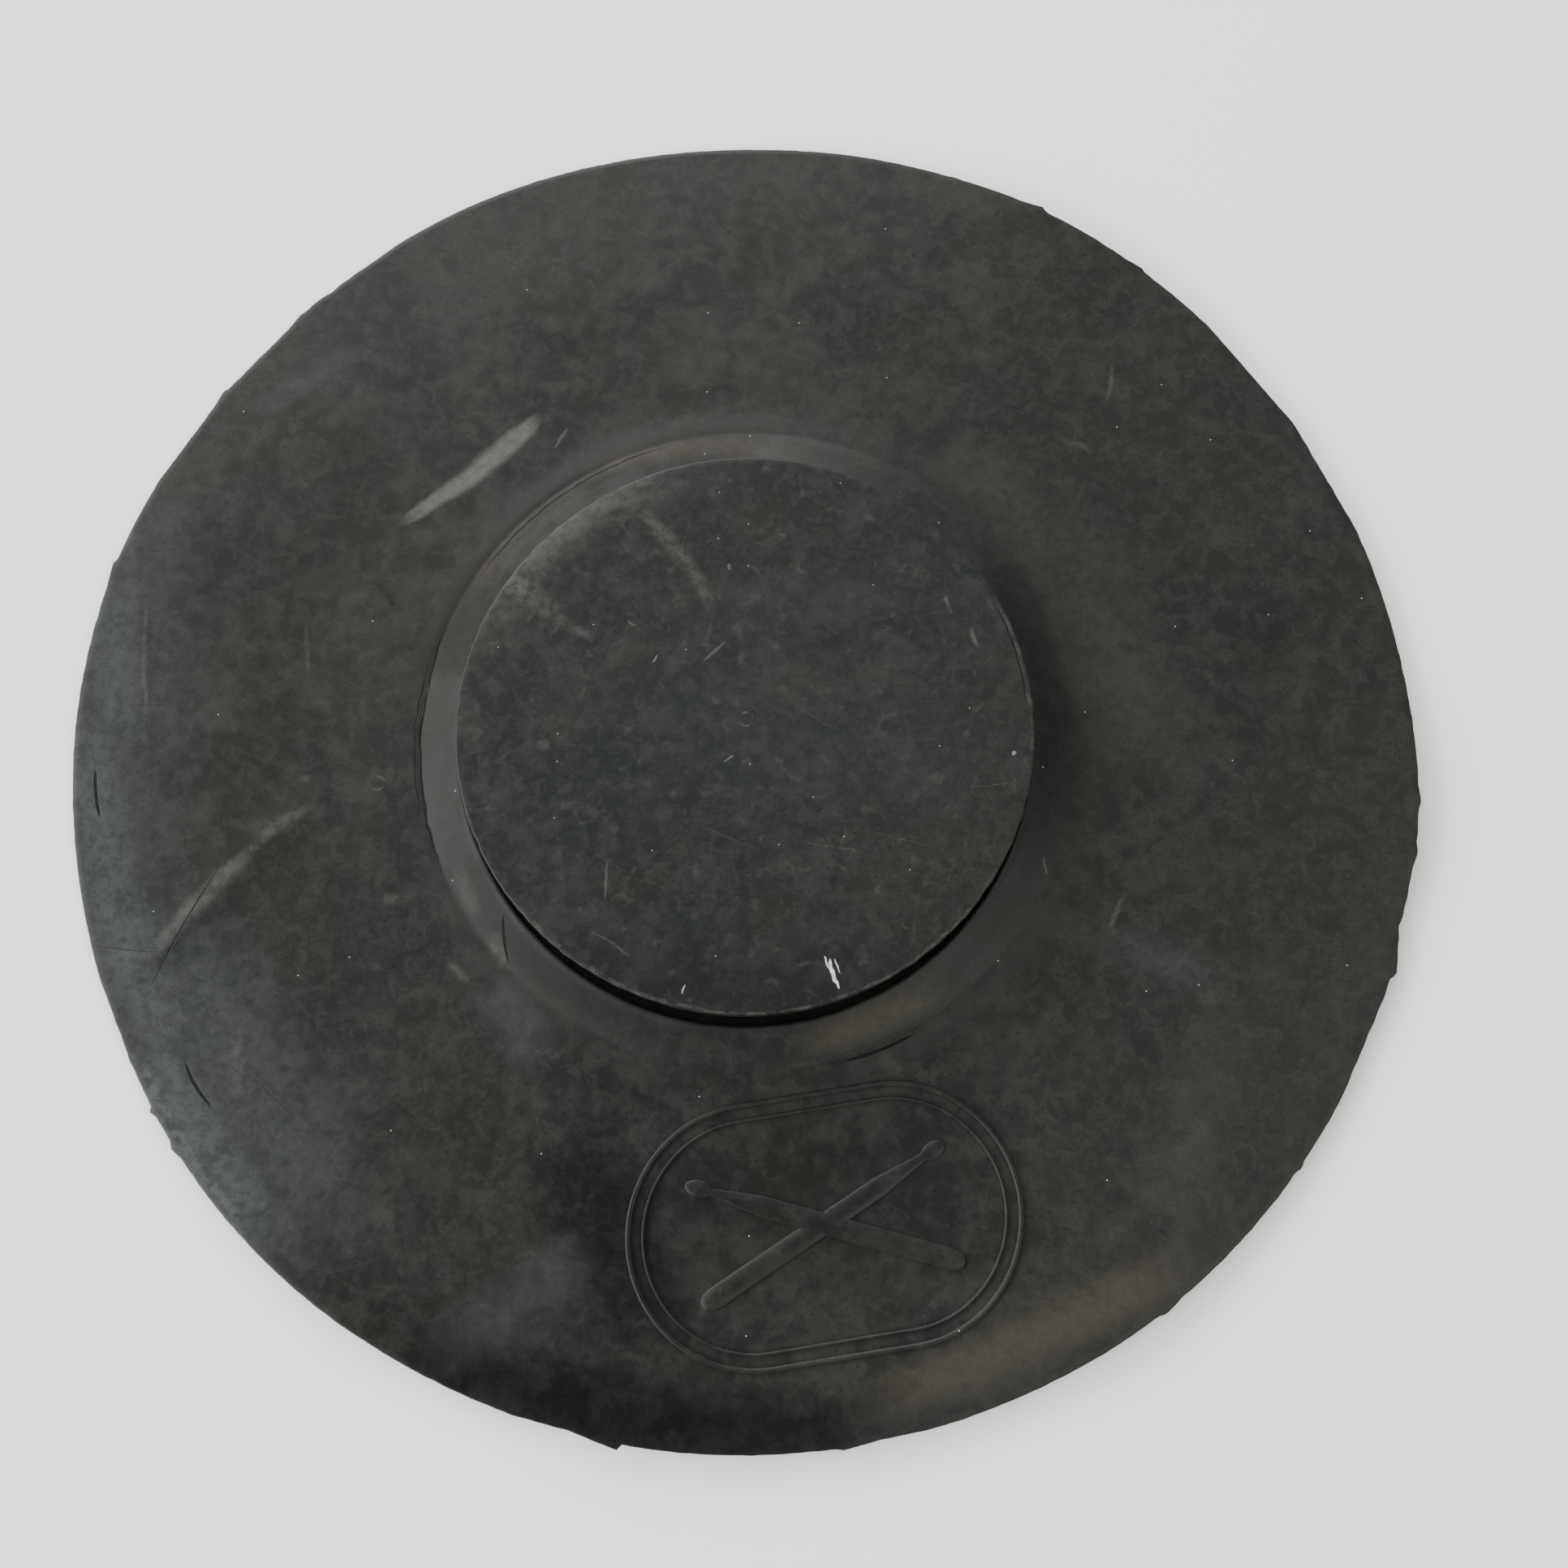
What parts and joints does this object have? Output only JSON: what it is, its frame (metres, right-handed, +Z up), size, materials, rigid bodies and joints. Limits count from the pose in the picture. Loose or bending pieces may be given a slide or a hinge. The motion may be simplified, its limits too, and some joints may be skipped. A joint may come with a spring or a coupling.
{
  "type": "practice pad",
  "caption": "Flat round rubber drum practice pad: a thin moulded sheet with a low raised centre, a bonded striking disc on top and a sponge core in the hollow underneath",
  "frame": {"origin": "middle of the flat underside, on the surface that the pad lies on", "axes": "+Z up through the striking disc, the raised emblem towards -Y, +X to the right of someone who reads the emblem"},
  "size_m": [0.3048, 0.3048, 0.0145],
  "materials": {
    "sheet_rubber": "satin, mottled with age",
    "disc_rubber": "satin, fine grain, worn edge",
    "core_sponge": "matt, open cells"
  },
  "bodies": {
    "root": {"base_sheet": "sheet_rubber", "striking_disc": "disc_rubber", "sponge_core": "core_sponge"}
  },
  "joints": []
}
